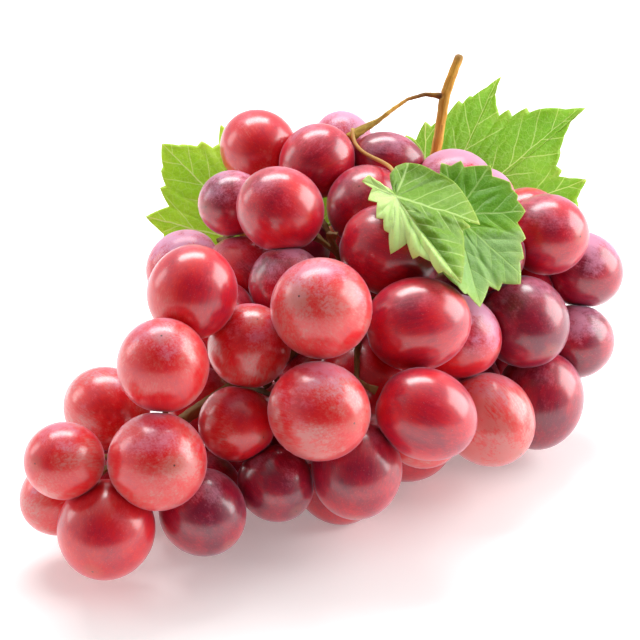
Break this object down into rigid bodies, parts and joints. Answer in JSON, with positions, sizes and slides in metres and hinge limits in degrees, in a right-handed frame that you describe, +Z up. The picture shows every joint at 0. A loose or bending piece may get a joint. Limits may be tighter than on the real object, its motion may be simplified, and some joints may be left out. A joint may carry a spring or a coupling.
{
  "type": "bunch of grapes",
  "caption": "Lying bunch of large red table grapes, tapering to its tip, with a forked woody stalk and lobed, toothed vine leaves; a fruit for still lifes, bowls and tables.",
  "frame": {"origin": "on the table, under the middle of the box round the bunch", "axes": "+X along the bunch from its tip to the end with the stalk, +Y towards its far side as it is seen in the picture, +Z up"},
  "size_m": [0.2127, 0.1294, 0.0984],
  "materials": {
    "berry_skin": "smooth red skin under a thin pale bloom",
    "stalk": "matt, slightly knobbly bark",
    "leaf": "satin green with paler veins",
    "dark_leaf": "satin darker green with paler veins"
  },
  "bodies": {
    "root": {"berries": "berry_skin", "stem": "stalk", "leaf_left": "leaf", "leaf_right": "leaf", "leaf_under": "dark_leaf", "leaf_front": "leaf"}
  },
  "joints": []
}
